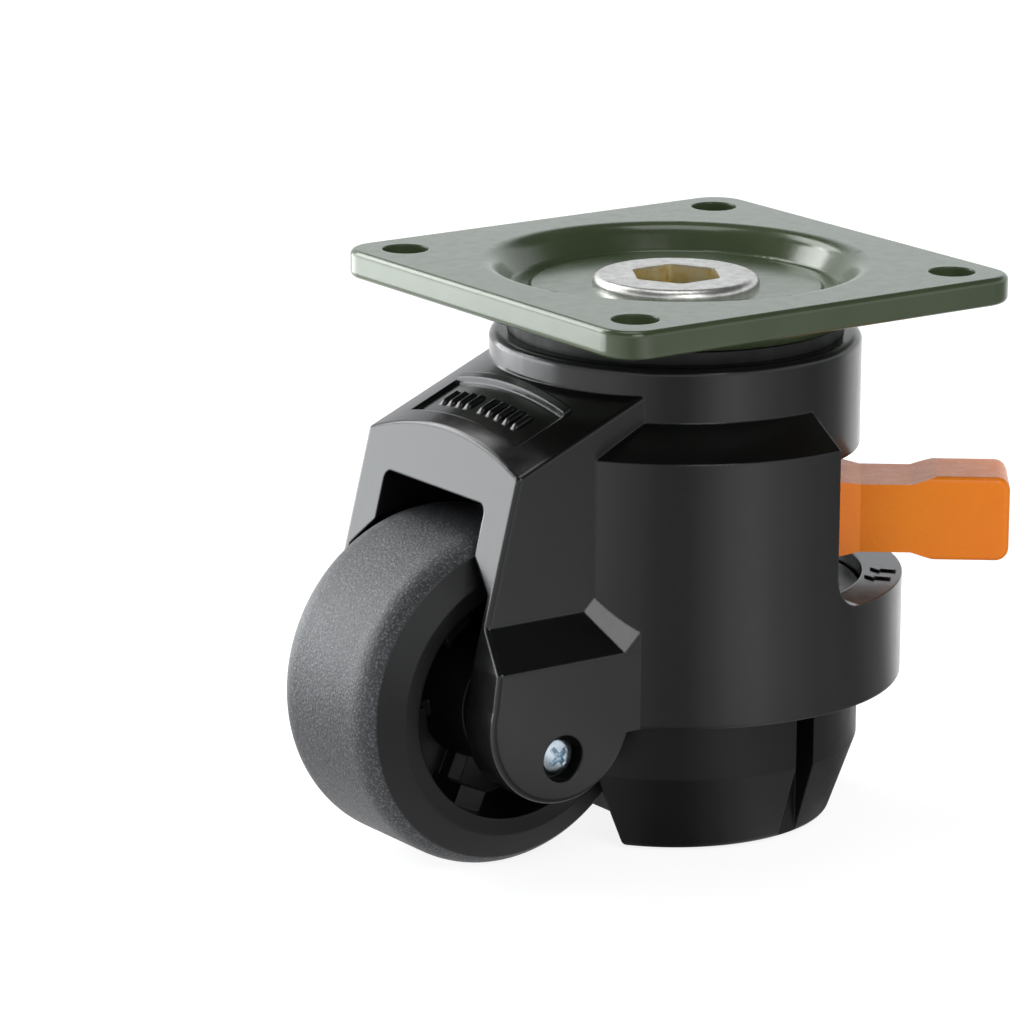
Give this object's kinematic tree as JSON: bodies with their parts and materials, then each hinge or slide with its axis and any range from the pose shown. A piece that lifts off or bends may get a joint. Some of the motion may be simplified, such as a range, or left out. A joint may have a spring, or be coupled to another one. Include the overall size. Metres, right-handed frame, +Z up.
{
  "type": "levelling castor",
  "caption": "Swivel castor on a square plate with a small solid wheel, and a ratchet lever that winds a threaded levelling foot down beside it.",
  "frame": {"origin": "centre of the top plate's mounting face, on the swivel axis", "axes": "+Z up out of the mounting face, +X towards the wheel, lever window facing -X"},
  "size_m": [0.1066, 0.073, 0.0844],
  "materials": {
    "plate_paint": "satin",
    "zinc_steel": "polished",
    "housing_black": "semi-gloss",
    "wheel_nylon": "matte",
    "foot_nylon": "satin",
    "pad_rubber": "matte",
    "lever_orange": "semi-gloss",
    "bronze": "satin",
    "dark_steel": "oiled"
  },
  "bodies": {
    "plate": {"top_plate": "plate_paint", "kingpin": "zinc_steel", "race_ring": "dark_steel"},
    "swivel": {"housing": "housing_black", "ratchet_carrier": "dark_steel", "carrier_screws": "zinc_steel", "retaining_plate": "dark_steel", "retainer_screws": "zinc_steel", "upper_thrust_washer": "bronze", "lower_thrust_washer": "bronze", "axle": "zinc_steel", "axle_lock_screws": "zinc_steel", "upper_balls": "zinc_steel", "lower_balls": "zinc_steel", "dust_seal": "pad_rubber"},
    "wheel": {"wheel": "wheel_nylon", "wheel_bushes": "bronze"},
    "gear": {"ratchet_gear": "dark_steel"},
    "foot": {"foot_body": "foot_nylon", "foot_pad": "pad_rubber", "levelling_screw": "zinc_steel", "foot_screw": "zinc_steel"},
    "lever": {"lever": "lever_orange", "pawl_pin": "zinc_steel", "pawl_spring": "zinc_steel"},
    "pawl": {"pawl": "dark_steel"}
  },
  "joints": [
    {"name": "swivel_turn", "type": "hinge", "parent": "plate", "child": "swivel", "pos_m": [0, 0, 0], "axis": [0, 0, 1], "continuous": true},
    {"name": "wheel_spin", "type": "hinge", "parent": "swivel", "child": "wheel", "pos_m": [0.0378, 0, -0.059], "axis": [0, 1, 0], "continuous": true},
    {"name": "gear_turn", "type": "hinge", "parent": "swivel", "child": "gear", "pos_m": [0, 0, -0.0375], "axis": [0, 0, 1], "range_deg": [-361, 1801]},
    {"name": "foot_travel", "type": "slide", "parent": "swivel", "child": "foot", "axis": [0, 0, -1], "range_m": [-0.002, 0.01]},
    {"name": "lever_swing", "type": "hinge", "parent": "swivel", "child": "lever", "pos_m": [0, 0, -0.0375], "axis": [0, 0, 1], "range_deg": [-15, 90]},
    {"name": "pawl_rock", "type": "hinge", "parent": "lever", "child": "pawl", "pos_m": [-0.01269, 0.00974, -0.0375], "axis": [0, 0, 1], "range_deg": [-10, 10]}
  ],
  "couplings": [
    {"joint": "gear_turn", "follows": "foot_travel", "rad_per_m": 3141.6}
  ]
}
